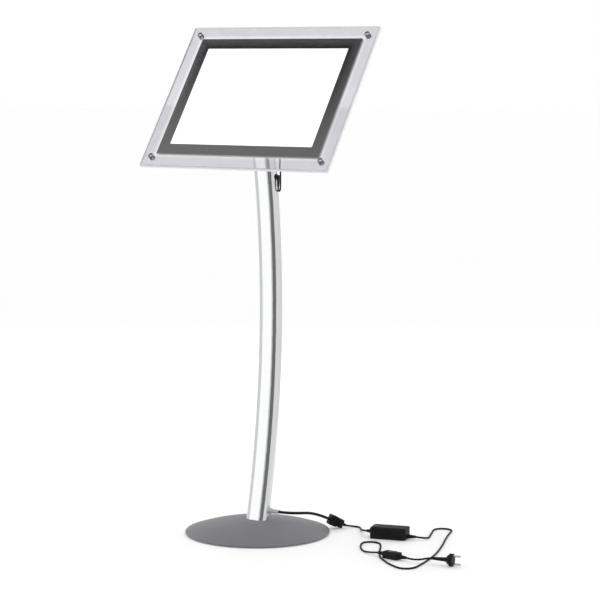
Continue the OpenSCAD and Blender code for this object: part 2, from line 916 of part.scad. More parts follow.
// Panel
module corner_places() {
    for (x = [-1, 1], y = [-1, 1])
        translate([x * (sheet_w / 2 - cap_inset), y * (sheet_h / 2 - cap_inset), 0])
            children();
}

module corner_place(x, y) {
    translate([x * (sheet_w / 2 - cap_inset), y * (sheet_h / 2 - cap_inset), 0])
        children();
}

module front_cover() {
    color("#e6eaf2", 0.35)
        on_panel()
            difference() {
                chamfer_sheet(sheet_w, sheet_h, cover_t, sheet_chamfer, sheet_chamfer / 2);
                corner_places()
                    translate([0, 0, -cover_t - over])
                        cylinder(r = stud_d / 2 + slide_gap, h = cover_t + 2 * over, $fn = 48);
            }
}

module mask_frame() {
    color("#4b4b4d")
        on_panel()
            translate([0, 0, -cover_t - mask_t])
                linear_extrude(mask_t)
                    difference() {
                        square([mask_w, mask_h], center = true);
                        square([window_w, window_h], center = true);
                    }
}

module poster() {
    color("#fbfbfb")
        on_panel()
            translate([0, 0, guide_front])
                linear_extrude(poster_t)
                    square([poster_w, poster_h], center = true);
}

module led_slot_place(side) {
    translate([0, side * (window_h / 2 + led_offset + led_slot_w / 2), guide_back])
        children();
}

module rear_screw_places() {
    x_out = mask_w / 2 - small_edge;
    y_out = mask_h / 2 - small_edge;
    for (x = [-1, 0, 1], y = [-1, 0, 1])
        if (abs(x) + abs(y) > 0)
            translate([x * x_out, y * y_out, 0])
                children();
}

module light_guide() {
    color("#dfe6f0", 0.45)
        on_panel()
            difference() {
                translate([0, 0, guide_front])
                    chamfer_sheet(sheet_w, sheet_h, guide_t, sheet_chamfer / 2, sheet_chamfer);
                corner_places()
                    translate([0, 0, guide_back - over])
                        cylinder(r = stud_d / 2 + slide_gap, h = guide_t + 2 * over, $fn = 48);
                for (side = [-1, 1])
                    led_slot_place(side)
                        translate([0, 0, (slot_depth - over) / 2])
                            cube([strip_l + 2 * run_gap, led_slot_w, slot_depth + over], center = true);
                rear_screw_places()
                    translate([0, 0, guide_back - over])
                        cylinder(r = small_r + bore_gap, h = small_l + over, $fn = 32);
            }
}

// Lamp strip that stands in its slot with the lamps towards the window
module led_strip(side) {
    pitch = strip_l / led_count;
    back_y = led_slot_w / 2 - strip_t / 2;
    on_panel()
        led_slot_place(side)
            mirror([0, side < 0 ? 1 : 0, 0])
                translate([0, back_y, strip_w / 2]) {
                    cube([strip_l, strip_t, strip_w], center = true);
                    for (i = [0 : led_count - 1])
                        translate([(i + 0.5) * pitch - strip_l / 2, -strip_t / 2 - led_t / 2, 0])
                            cube([led_w, led_t + eps, led_w], center = true);
                }
}

module led_strip_top() {
    color("#f2efe2")
        led_strip(1);
}

module led_strip_bottom() {
    color("#f2efe2")
        led_strip(-1);
}

module reflector() {
    reflector_w = window_w + led_offset;
    reflector_h = window_h + led_offset;
    color("#ffffff")
        on_panel()
            translate([0, 0, guide_back - reflector_t])
                linear_extrude(reflector_t)
                    square([reflector_w, reflector_h], center = true);
}

module rear_cover() {
    pan_w = mask_w - 2 * tray_flange;
    pan_h = mask_h - 2 * tray_flange;
    inner = 2 * tray_wall;
    boss_h = tray_d - tray_wall - reflector_t;
    color("#c7c9ce")
        on_panel()
            difference() {
                union() {
                    translate([0, 0, guide_back - tray_wall])
                        linear_extrude(tray_wall)
                            square([mask_w, mask_h], center = true);
                    translate([0, 0, guide_back])
                        pan(pan_w, pan_h, tray_d, tray_draft);
                }
                difference() {
                    translate([0, 0, guide_back + eps])
                        pan(pan_w - inner, pan_h - inner, tray_d - tray_wall + eps, tray_draft);
                    bracket_screw_places()
                        translate([0, 0, tray_back])
                            cylinder(r = boss_r, h = boss_h + tray_wall, $fn = 48);
                }
                bracket_screw_places()
                    translate([0, 0, tray_back - over])
                        cylinder(r = screw_r + bore_gap, h = screw_l - plate_t + 2 * over, $fn = 32);
                rear_screw_places()
                    translate([0, 0, guide_back - tray_wall - over])
                        cylinder(r = small_r + bore_gap, h = tray_wall + 2 * over, $fn = 32);
                translate([panel_gland_at[0], panel_gland_at[1], tray_back - over])
                    cylinder(r = gland_r + slide_gap, h = tray_wall + 2 * over, $fn = 48);
            }
}

module rear_cover_screws() {
    color("#8d8f94")
        on_panel()
            rear_screw_places()
                translate([0, 0, guide_back - tray_wall])
                    screw(small_r, tray_wall + small_l - over, small_head_r, small_head_h);
}

// Small board on the floor of the rear cover that joins the two lamp strips to the lead
module junction_board() {
    block = [10, 8, 3.4];
    color("#2f6b4a")
        on_panel()
            translate([board_at[0], board_at[1], tray_back + tray_wall]) {
                translate([0, 0, board_size[2] / 2])
                    cube(board_size, center = true);
                for (x = [-1, 0, 1])
                    translate([x * board_size[0] / 3, 0, board_size[2] + block[2] / 2 - eps])
                        cube(block, center = true);
            }
}

module panel_gland() {
    tip_r = panel_lead_d / 2 + relief_wall;
    bore_l = tray_wall + gland_l + 2 * over;
    color("#1c1c1e")
        on_panel()
            translate([panel_gland_at[0], panel_gland_at[1], tray_back])
                mirror([0, 0, 1])
                    difference() {
                        union() {
                            cylinder(r = gland_flange_r, h = gland_flange_t, $fn = 6);
                            translate([0, 0, -tray_wall])
                                cylinder(r = gland_r, h = tray_wall + gland_flange_t, $fn = 48);
                            translate([0, 0, gland_flange_t])
                                cylinder(r1 = gland_r, r2 = tip_r, h = gland_l - gland_flange_t, $fn = 48);
                        }
                        translate([0, 0, -tray_wall - over])
                            cylinder(d = panel_lead_d + 2 * bore_gap, h = bore_l, $fn = 48);
                    }
}

module corner_studs() {
    color("#b4b6bb")
        on_panel()
            corner_places() {
                translate([0, 0, guide_back - stud_flange_t])
                    cylinder(r = stud_flange_r, h = stud_flange_t, $fn = 48);
                translate([0, 0, guide_back - eps])
                    cylinder(d = stud_d, h = eps - guide_back + stud_rise, $fn = 48);
            }
}

module corner_spacers() {
    color("#e8e8e8")
        on_panel()
            corner_places()
                translate([0, 0, guide_front])
                    ring(spacer_r, stud_d / 2 + slide_gap, film_t);
}

// Fluted cap that is turned by hand on its stud
module corner_cap(x, y) {
    flute_r = PI * cap_d / cap_flutes / 4;
    crown_r = cap_d;
    color("#b4b6bb")
        on_panel()
            corner_place(x, y)
                translate([0, 0, run_gap])
                    difference() {
                        intersection() {
                            cylinder(d = cap_d, h = cap_h, $fn = 96);
                            translate([0, 0, cap_h - crown_r])
                                sphere(r = crown_r, $fn = 96);
                        }
                        for (i = [0 : cap_flutes - 1])
                            rotate([0, 0, i * 360 / cap_flutes])
                                translate([cap_d / 2 + flute_r / 3, 0, -over])
                                    cylinder(r = flute_r, h = cap_h + 2 * over, $fn = 24);
                        translate([0, 0, -over])
                            cylinder(r = stud_d / 2 + bore_gap, h = cap_bore_h + over, $fn = 48);
                    }
}

module corner_cap_tl() {
    corner_cap(-1, 1);
}

module corner_cap_tr() {
    corner_cap(1, 1);
}

module corner_cap_bl() {
    corner_cap(-1, -1);
}

module corner_cap_br() {
    corner_cap(1, -1);
}

// Cords
module panel_lead() {
    color("#161617")
        cord(panel_lead_route, panel_lead_d, 8);
}

module post_tail() {
    color("#161617")
        cord(post_tail_route, tail_d, 10);
}

module pack_lead() {
    color("#161617")
        cord(pack_lead_route, lead_d, 8);
}

module mains_lead() {
    color("#161617")
        cord(mains_lead_route, lead_d, 8);
}

module plug_lead() {
    color("#161617")
        cord(plug_lead_route, lead_d, 8);
}

// Coupling between the lead from the post and the power pack
module on_coupling() {
    translate(coupling_at)
        rotate([0, 0, coupling_turn])
            rotate([0, coupling_pitch, 0])
                translate([(socket_size[0] - coupling_plug_size[0]) / 2, 0, 0])
                    children();
}

module coupling_socket() {
    grip_count = 3;
    grip_w = 1.6;
    grip_d = 0.8;
    edge = 5;
    l = socket_size[0];
    grip_pitch = l / (grip_count + 1.5);
    color("#19191b")
        on_coupling()
            difference() {
                translate([-l / 2, 0, -socket_size[2] / 2])
                    soft_block(socket_size, edge);
                for (i = [1 : grip_count], s = [-1, 1])
                    translate([-i * grip_pitch, s * socket_size[1] / 2, 0])
                        cube([grip_w, 2 * grip_d, socket_size[2] - 2 * edge], center = true);
                translate([-l - over, 0, 0])
                    rotate([0, 90, 0])
                        cylinder(d = tail_d + 2 * bore_gap, h = over + eps, $fn = 48);
            }
}

module coupling_plug() {
    l = coupling_plug_size[0];
    edge = 4;
    relief_base = 5;
    color("#19191b")
        on_coupling() {
            translate([l / 2 + eps, 0, -coupling_plug_size[2] / 2])
                soft_block(coupling_plug_size, edge);
            translate([l, 0, 0])
                rotate([0, 90, 0])
                    relief(relief_base, lead_d / 2 + relief_wall, coupling_relief_l, lead_d / 2);
        }
}

// Power pack
module on_pack() {
    translate([pack_at[0], pack_at[1], 0])
        rotate([0, 0, pack_turn])
            children();
}

module pack_half(low, high) {
    edge = 5;
    inner = [pack_l - 2 * pack_wall, pack_w - 2 * pack_wall, pack_h - 2 * pack_wall];
    intersection() {
        difference() {
            soft_block([pack_l, pack_w, pack_h], edge);
            translate([0, 0, pack_wall])
                soft_block(inner, edge - pack_wall);
            translate([0, 0, pack_out_z])
                rotate([0, 90, 0])
                    cylinder(d = lead_d + 2 * bore_gap, h = pack_l, $fn = 48);
            translate([0, 0, pack_in_z])
                rotate([0, -90, 0])
                    cylinder(d = lead_d + 2 * bore_gap, h = pack_l, $fn = 48);
            translate([0, 0, pack_h])
                pack_lens_seat(bore_gap);
        }
        translate([0, 0, (low + high) / 2])
            cube([2 * pack_l, 2 * pack_w, high - low], center = true);
    }
}

module pack_lens_seat(gap) {
    translate([-pack_lens_x, 0, -2 * pack_wall])
        cylinder(d = pack_lens_d + 2 * gap, h = 2 * pack_wall + over, $fn = 32);
}

module pack_base() {
    color("#1b1b1d")
        on_pack()
            pack_half(0, pack_h / 2);
}

module pack_lid() {
    step = 0.4;
    color("#1b1b1d")
        on_pack()
            difference() {
                pack_half(pack_h / 2, pack_h);
                translate([0, 0, pack_h / 2])
                    difference() {
                        cube([2 * pack_l, 2 * pack_w, 2 * step], center = true);
                        cube([pack_l - 2 * step, pack_w - 2 * step, 4 * step], center = true);
                    }
            }
}

module pack_board() {
    board_t = 1.6;
    end_room = 3;
    stand_h = 4;
    board = [pack_l - 4 * pack_wall - 2 * end_room, pack_w - 4 * pack_wall, board_t];
    stand_at = [board[0] / 2.6, board[1] / 2.8];
    can_at = [board[0] / 3, -board[1] / 5];
    core = [24, 22, 16];
    can_r = 5;
    can_h = 15;
    post_r = 3;
    color("#33694b")
        on_pack()
            translate([0, 0, pack_wall + stand_h]) {
                translate([0, 0, board_t / 2])
                    cube(board, center = true);
                translate([0, 0, board_t + core[2] / 2 - eps])
                    cube(core, center = true);
                for (x = [-1, 1])
                    translate([x * can_at[0], can_at[1], board_t - eps])
                        cylinder(r = can_r, h = can_h, $fn = 48);
                for (x = [-1, 1], y = [-1, 1])
                    translate([x * stand_at[0], y * stand_at[1], -stand_h])
                        cylinder(r = post_r, h = stand_h + eps, $fn = 32);
            }
}

module pack_lens() {
    color("#7fd08a")
        on_pack()
            translate([-pack_lens_x, 0, pack_h - pack_wall])
                cylinder(d = pack_lens_d, h = pack_wall + eps, $fn = 32);
}

module pack_reliefs() {
    base_r = 5.5;
    tip_r = lead_d / 2 + relief_wall;
    color("#1b1b1d")
        on_pack()
            union() {
                translate([pack_l / 2, 0, pack_out_z])
                    rotate([0, 90, 0])
                        relief(base_r, tip_r, pack_relief_out, lead_d / 2);
                translate([-pack_l / 2, 0, pack_in_z])
                    rotate([0, -90, 0])
                        relief(base_r, tip_r, pack_relief_in, lead_d / 2);
            }
}

// Switch on the mains lead
module on_switch() {
    translate([switch_at[0], switch_at[1], 0])
        rotate([0, 0, switch_turn])
            children();
}

module switch_half(low, high) {
    inner = [switch_l - 2 * switch_wall, switch_w - 2 * switch_wall, switch_h - 2 * switch_wall];
    intersection() {
        difference() {
            soft_block([switch_l, switch_w, switch_h], switch_edge);
            translate([0, 0, switch_wall])
                soft_block(inner, switch_edge - switch_wall);
            translate([0, 0, switch_axis_z])
                rotate([0, 90, 0])
                    cylinder(d = lead_d + 2 * bore_gap, h = 2 * switch_l, center = true, $fn = 48);
        }
        translate([0, 0, (low + high) / 2])
            cube([2 * switch_l, 2 * switch_w, high - low], center = true);
    }
}

module switch_base() {
    color("#1b1b1d")
        on_switch()
            switch_half(0, switch_split);
}

module switch_lid() {
    window = [rocker_l + 2 * rocker_side, rocker_w + 2 * rocker_side];
    cheek_l = 8;
    cheek_y = window[1] / 2 + cheek_t / 2;
    cheek_z = switch_h - switch_wall - cheek_h / 2 + eps;
    hole_l = window[1] + 2 * cheek_t + over;
    color("#1b1b1d")
        on_switch()
            difference() {
                union() {
                    switch_half(switch_split, switch_h);
                    for (s = [-1, 1])
                        translate([0, s * cheek_y, cheek_z])
                            cube([cheek_l, cheek_t, cheek_h], center = true);
                }
                translate([0, 0, switch_h])
                    cube([window[0], window[1], 4 * switch_wall], center = true);
                translate([0, 0, rocker_pin_z])
                    rotate([90, 0, 0])
                        cylinder(r = rocker_pin_r + bore_gap / 2, h = hole_l, center = true, $fn = 48);
            }
}

// Brass spring strips under the rocker, seated on the floor of the switch
module switch_contacts() {
    strip = [14, 5, 0.8];
    leg_l = 3;
    leg_h = 4;
    end_room = 2;
    color("#b99b4e")
        on_switch()
            for (s = [-1, 1])
                translate([s * (switch_l / 2 - switch_wall - strip[0] / 2 - end_room), 0, switch_wall]) {
                    translate([0, 0, leg_h])
                        translate([0, 0, strip[2] / 2])
                            cube(strip, center = true);
                    translate([0, 0, leg_h / 2 + eps / 2])
                        cube([leg_l, strip[1], leg_h + eps], center = true);
                }
}

// Rocker with its two stub pins, pressed down at one end
module switch_rocker() {
    stub = cheek_t + rocker_side - run_gap;
    rise = 3;
    dip = 1.6;
    depth = 5;
    end_gap = 0.4;
    half = rocker_l / 2 - end_gap;
    color("#2a2a2d")
        on_switch()
            translate([0, 0, rocker_pin_z])
                rotate([0, -rocker_swing, 0]) {
                    rotate([90, 0, 0])
                        linear_extrude(rocker_w, center = true)
                            polygon([
                                [-half, 0], [-half, rise + dip], [0, rise], [half, rise + dip], [half, 0],
                                [half / 2, -depth / 2], [-half / 2, -depth / 2]
                            ]);
                    rotate([90, 0, 0])
                        cylinder(r = rocker_pin_r, h = rocker_w + 2 * stub, center = true, $fn = 48);
                }
}

module switch_reliefs() {
    base_r = 5.5;
    color("#1b1b1d")
        on_switch()
            for (s = [-1, 1])
                translate([s * switch_l / 2, 0, switch_axis_z])
                    rotate([0, s * 90, 0])
                        relief(base_r, lead_d / 2 + relief_wall, switch_relief_l, lead_d / 2);
}

// Moulded plug with two round pins
module on_plug() {
    translate([plug_at[0], plug_at[1], plug_d / 2])
        rotate([0, 0, plug_turn])
            rotate([0, 90, 0])
                children();
}

module plug_body() {
    neck_r = 5.5;
    shoulder_r = 9;
    shoulder_l = 6;
    bevel = 1;
    bevel_r = plug_d / 2 - bevel;
    flange_l = plug_head_l - shoulder_l;
    color("#19191b")
        on_plug()
            difference() {
                union() {
                    translate([0, 0, plug_neck_l])
                        mirror([0, 0, 1])
                            relief(neck_r, lead_d / 2 + relief_wall, plug_neck_l, lead_d / 2);
                    translate([0, 0, plug_neck_l]) {
                        cylinder(r1 = shoulder_r, r2 = bevel_r, h = shoulder_l, $fn = 96);
                        translate([0, 0, shoulder_l])
                            intersection() {
                                cylinder(d = plug_d, h = flange_l, $fn = 96);
                                cylinder(r1 = bevel_r, r2 = bevel_r + flange_l, h = flange_l, $fn = 96);
                            }
                    }
                }
                plug_pin_places()
                    translate([0, 0, -pin_root_l])
                        cylinder(r = pin_root_r + bore_gap, h = pin_l, $fn = 48);
            }
}

module plug_pin_places() {
    for (s = [-1, 1])
        translate([s * pin_pitch / 2, 0, plug_neck_l + plug_head_l])
            children();
}

module plug_pins() {
    color("#d7d8da")
        on_plug()
            plug_pin_places() {
                translate([0, 0, -pin_root_l])
                    cylinder(r = pin_root_r, h = pin_root_l + over, $fn = 48);
                cylinder(d = pin_d, h = pin_l - pin_d / 2, $fn = 48);
                translate([0, 0, pin_l - pin_d / 2])
                    sphere(d = pin_d, $fn = 48);
            }
}

base_cover();
base_weight();
base_feet();
post_bolts();
foot_block();
post_tube();
post_head();
head_screws();
upper_jack();
jack_plug();
lower_gland();
post_lead();
tilt_bracket();
friction_washers();
pivot_bolt();
pivot_nut();
bracket_screws();
front_cover();
mask_frame();
poster();
light_guide();
led_strip_top();
led_strip_bottom();
reflector();
rear_cover();
rear_cover_screws();
junction_board();
panel_gland();
corner_studs();
corner_spacers();
corner_cap_tl();
corner_cap_tr();
corner_cap_bl();
corner_cap_br();
panel_lead();
post_tail();
coupling_socket();
coupling_plug();
pack_lead();
pack_base();
pack_lid();
pack_board();
pack_lens();
pack_reliefs();
mains_lead();
switch_base();
switch_lid();
switch_contacts();
switch_rocker();
switch_reliefs();
plug_lead();
plug_body();
plug_pins();
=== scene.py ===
# %% [markdown]
# # A lit menu board, dressed for the camera
# The real object is a stand for a menu: a heavy round foot, a bent metal post, and a clear panel that lights a poster
# from behind. Its solids come from a CAD file and are already in the right place. What is left for Blender is the part
# that a camera cares about: where the light comes from, what each surface does with it, and how the leads lie. The
# cells below can be run one after the other, and each prints what it made.

# %% load the solids
import json
import math

import bpy
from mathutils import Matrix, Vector


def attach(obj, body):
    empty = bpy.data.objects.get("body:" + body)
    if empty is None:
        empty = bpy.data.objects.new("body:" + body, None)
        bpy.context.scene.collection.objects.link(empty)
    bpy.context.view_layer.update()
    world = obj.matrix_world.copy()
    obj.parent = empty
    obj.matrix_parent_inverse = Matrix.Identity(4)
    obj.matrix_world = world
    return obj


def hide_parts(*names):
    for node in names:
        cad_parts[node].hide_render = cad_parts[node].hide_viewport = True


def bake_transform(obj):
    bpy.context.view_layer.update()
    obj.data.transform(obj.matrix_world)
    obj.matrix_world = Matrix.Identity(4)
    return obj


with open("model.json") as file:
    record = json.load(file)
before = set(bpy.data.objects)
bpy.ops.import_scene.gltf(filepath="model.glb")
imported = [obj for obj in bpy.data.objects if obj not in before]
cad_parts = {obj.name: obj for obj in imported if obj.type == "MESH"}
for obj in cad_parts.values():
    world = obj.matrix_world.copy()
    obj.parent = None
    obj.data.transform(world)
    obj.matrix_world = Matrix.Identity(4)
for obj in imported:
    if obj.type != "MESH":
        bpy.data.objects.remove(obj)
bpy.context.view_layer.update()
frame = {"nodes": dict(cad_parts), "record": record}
nodes = frame["nodes"]
scene = bpy.context.scene

# %% [markdown]
# ## The camera
# Opposite edges of the panel stay nearly parallel in the picture, so the camera is far away and has a long lens. It
# could be aimed at an empty with a constraint. Here it is described by where it stands and by two angles, its heading
# and how far it looks down, because those are easier to correct than a target or three Euler angles.

# %% camera
CAMERA_AT = Vector((2.9190, -4.4418, 1.1765))
HEADING = math.radians(32.17)
LOOK_DOWN = math.radians(6.36)
LENS_MM = 130.03
SENSOR_MM = 36
look = Vector((
    -math.sin(HEADING) * math.cos(LOOK_DOWN),
    math.cos(HEADING) * math.cos(LOOK_DOWN),
    -math.sin(LOOK_DOWN),
))
camera_data = bpy.data.cameras.new("camera")
camera_data.lens = LENS_MM
camera_data.sensor_width = SENSOR_MM
camera = bpy.data.objects.new("camera", camera_data)
camera.location = CAMERA_AT
camera.rotation_euler = look.to_track_quat("-Z", "Y").to_euler()
scene.collection.objects.link(camera)
scene.camera = camera
print("camera looks along", [round(v, 3) for v in look])

# %% [markdown]
# ## The leads
# Five round black leads carry the current from the plug to the panel. A simulation could let them fall, but a fallen
# lead is hard to steer. Here each one is a line through a few points in metres, the same points that the plain leads
# among the solids pass through, so both ends meet their glands and strain reliefs. A centripetal spline joins the
# points, because it passes through every one of them and doesn't overshoot where they crowd.

# %% a smooth line through points
def smooth_line(points, steps=6):
    """Points of a centripetal spline through the given ones, with a number of steps between two of them."""
    p = [Vector(v) for v in points]
    p = [2 * p[0] - p[1]] + p + [2 * p[-1] - p[-2]]
    line = []
    for a, b, c, d in zip(p, p[1:], p[2:], p[3:]):
        ta, tb, tc = ((v - u).length ** 0.5 for u, v in ((a, b), (b, c), (c, d)))
        start = (c - b) + tb * ((b - a) / ta - (c - a) / (ta + tb))
        stop = (c - b) + tb * ((d - c) / tc - (d - b) / (tb + tc))
        for k in range(steps):
            s = k / steps
            line.append(
                (2 * s**3 - 3 * s**2 + 1) * b + (s**3 - 2 * s**2 + s) * start
                + (3 * s**2 - 2 * s**3) * c + (s**3 - s**2) * stop
            )
    return line + [p[-2]]


def line_length(line):
    return sum((b - a).length for a, b in zip(line, line[1:]))


# %% [markdown]
# A curve object with a bevel depth is the lightest tube there is, lighter than a mesh and just as round. The depth is
# multiplied by the radius of each point, and that radius also counts in the object's box, so it is the radius here
# that is small and the depth that is one. Each lead takes the place of the plain lead among the solids, which is
# hidden.

# %% a lead from a curve
leads = []


def lead(name, node, route, diameter):
    line = smooth_line(route)
    data = bpy.data.curves.new(name, "CURVE")
    data.dimensions = "3D"
    data.bevel_depth = 1.0
    data.bevel_resolution = 5
    data.use_fill_caps = True
    spline = data.splines.new("POLY")
    spline.points.add(len(line) - 1)
    for point, place in zip(spline.points, line):
        point.co = (*place, 1)
        point.radius = diameter / 2
    spline.use_smooth = True
    made = bpy.data.objects.new(name, data)
    scene.collection.objects.link(made)
    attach(made, "root")
    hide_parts(node)
    round(line_length(line), 4)
    leads.append(made)
    print(name, "is", round(line_length(line), 3), "m long")


# %% [markdown]
# The thick lead from the foot of the post leaves its gland level, turns back over the rim of the foot and slopes down
# to the coupling. It is stiff for its length, so its turns are wide.

# %% lead from the post
TAIL_D = 0.007
POST_TAIL = [
    (0.0602, 0.0054, 0.058), (0.068, 0.0054, 0.058), (0.0768, 0.0066, 0.058), (0.085, 0.01, 0.0576),
    (0.092, 0.0154, 0.057), (0.0974, 0.0224, 0.0562), (0.101, 0.031, 0.0551), (0.1048, 0.045, 0.0532),
    (0.1082, 0.06, 0.051), (0.1105, 0.0732, 0.0483), (0.1125, 0.0864, 0.0447), (0.1147, 0.0992, 0.0405),
    (0.1179, 0.1114, 0.0358), (0.1227, 0.1227, 0.0306), (0.1286, 0.1314, 0.0259),
]
lead("lead_from_post", "post_tail", POST_TAIL, TAIL_D)

# %% [markdown]
# The thin lead between the coupling and the power pack comes down to the floor, makes a short bend there and rises
# again into the strain relief of the pack. Where it lies flat, its centre is a little more than its radius above the
# floor.

# %% lead to the power pack
LEAD_D = 0.0046
LYING = 0.0024
PACK_LEAD = [
    (0.1571, 0.1654, 0.0061), (0.163, 0.172, 0.0044), (0.17, 0.178, 0.003), (0.178, 0.181, LYING),
    (0.1865, 0.18, LYING), (0.194, 0.1745, LYING), (0.201, 0.1665, LYING), (0.2075, 0.1565, 0.0028),
    (0.214, 0.1465, 0.0042), (0.2205, 0.1365, 0.0064), (0.2265, 0.127, 0.009), (0.2325, 0.1185, 0.0116),
    (0.238, 0.111, 0.0136), (0.245, 0.1055, 0.0147), (0.2535, 0.1042, 0.0149),
]
lead(
    "lead_to_pack", "pack_lead", PACK_LEAD, LEAD_D,
)

# %% [markdown]
# The mains lead lies loose on the floor: a hook behind the pack, a long way forward, and a small loop at the switch. A
# mains lead is springy, so none of its bends is tighter than four times its thickness.

# %% lead to the switch
MAINS_LEAD = [
    (0.3762, 0.135, 0.008), (0.3816, 0.1365, 0.0075), (0.3894, 0.1407, 0.0065), (0.3951, 0.1478, 0.0052),
    (0.3973, 0.1568, 0.0039), (0.3955, 0.1663, 0.0028), (0.3915, 0.1767, LYING), (0.378, 0.2115, LYING),
    (0.3685, 0.236, LYING), (0.364, 0.2475, LYING), (0.3627, 0.2591, LYING), (0.3675, 0.27, LYING),
    (0.3772, 0.277, LYING), (0.389, 0.2782, LYING), (0.3999, 0.2734, LYING), (0.4072, 0.263, LYING),
    (0.4107, 0.2515, LYING), (0.43, 0.195, LYING), (0.47, 0.093, LYING), (0.5, 0, LYING),
    (0.519, -0.108, LYING), (0.52, -0.1235, LYING), (0.517, -0.137, LYING), (0.5085, -0.147, LYING),
    (0.497, -0.1505, LYING), (0.4855, -0.148, LYING), (0.457, -0.131, LYING), (0.425, -0.105, LYING),
    (0.399, -0.0785, LYING), (0.376, -0.042, LYING), (0.33, 0.0405, LYING), (0.319, 0.05, LYING),
    (0.306, 0.053, LYING), (0.294, 0.048, LYING), (0.287, 0.037, LYING), (0.288, 0.0235, LYING),
    (0.3085, -0.016, LYING), (0.332, -0.043, LYING), (0.356, -0.057, 0.005), (0.3843, -0.0643, 0.009),
]
lead(
    "lead_to_switch", "mains_lead", MAINS_LEAD, LEAD_D,
)

# %% [markdown]
# The last piece, from the switch to the plug, is so short that it carries itself. It passes over the mains lead on its
# way.

# %% lead to the plug
PLUG_LEAD = [
    (0.4697, -0.0778, 0.009), (0.4742, -0.0785, 0.0088), (0.4787, -0.0791, 0.0087), (0.4832, -0.0796, 0.0086),
    (0.4877, -0.0799, 0.0086), (0.4922, -0.08, 0.0087), (0.4967, -0.0799, 0.009), (0.5012, -0.0794, 0.0094),
    (0.5056, -0.0788, 0.01), (0.51, -0.0778, 0.0108), (0.5142, -0.0766, 0.0118), (0.5185, -0.0753, 0.0128),
    (0.5227, -0.0741, 0.0136), (0.527, -0.0728, 0.0143), (0.5313, -0.0715, 0.015),
]
lead("lead_to_plug", "plug_lead", PLUG_LEAD, LEAD_D)

# %% [markdown]
# The lead behind the panel is different, because it crosses the tilt joint, and it is built as a mesh rather than a
# curve. The rings are built by carrying one sideways direction along the line, which keeps the tube from twisting.

# %% a lead from a mesh
def tube_mesh(name, line, radius, sides=16):
    rings, side = [], Vector((1, 0, 0))
    for i, place in enumerate(line):
        along = (line[min(i + 1, len(line) - 1)] - line[max(i - 1, 0)]).normalized()
        side = (side - side.dot(along) * along).normalized()
        other = along.cross(side)
        for k in range(sides):
            turn = 2 * math.pi * k / sides
            rings.append(place + radius * (math.cos(turn) * side + math.sin(turn) * other))
    faces = [
        (i * sides + k, i * sides + (k + 1) % sides, (i + 1) * sides + (k + 1) % sides, (i + 1) * sides + k)
        for i in range(len(line) - 1) for k in range(sides)
    ]
    faces += [tuple(reversed(range(sides))), tuple(range(len(rings) - sides, len(rings)))]
    data = bpy.data.meshes.new(name)
    data.from_pydata(rings, [], faces)
    data.shade_smooth()
    made = bpy.data.objects.new(name, data)
    scene.collection.objects.link(made)
    print(name, "has", len(line), "rings")
    return made


# %% [markdown]
# The lead comes out of the gland on the back of the panel, hangs down beside the post, and turns up at the bottom into
# an elbow plug.

# %% lead across the tilt joint
PANEL_LEAD_D = 0.004
PANEL_LEAD = [
    (0.05, 0.0301, 1.0563), (0.05, 0.0365, 1.0516), (0.05, 0.041, 1.045), (0.05, 0.043, 1.036),
    (0.0486, 0.044, 1.02), (0.0464, 0.0452, 1), (0.0439, 0.0467, 0.98), (0.0412, 0.0486, 0.96),
    (0.0383, 0.051, 0.94), (0.0354, 0.0538, 0.92), (0.0328, 0.0568, 0.9), (0.031, 0.0592, 0.882),
    (0.0303, 0.0602, 0.868), (0.0302, 0.0602, 0.861), (0.0306, 0.059, 0.8562), (0.0315, 0.0556, 0.8527),
    (0.0329, 0.051, 0.8514), (0.0343, 0.0463, 0.8527), (0.0352, 0.0429, 0.8562), (0.0356, 0.0417, 0.861),
    (0.0356, 0.0417, 0.8628),
]
panel_line = smooth_line(PANEL_LEAD)
panel_lead = tube_mesh("lead_to_panel", panel_line, PANEL_LEAD_D / 2)
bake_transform(panel_lead)
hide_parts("panel_lead")
round(line_length(panel_line), 4)
leads.append(panel_lead)
print("lead_to_panel is", round(line_length(panel_line), 3), "m long")

# %% [markdown]
# ## Formulas instead of wires
# A procedural material is a formula, and it reads best when it is written as one. This class wraps an output of a
# shader node, so that plus, minus and times add the right Math node behind the scenes. One more method adds any other
# kind of node, and the short methods after it are the nodes that come back most often.

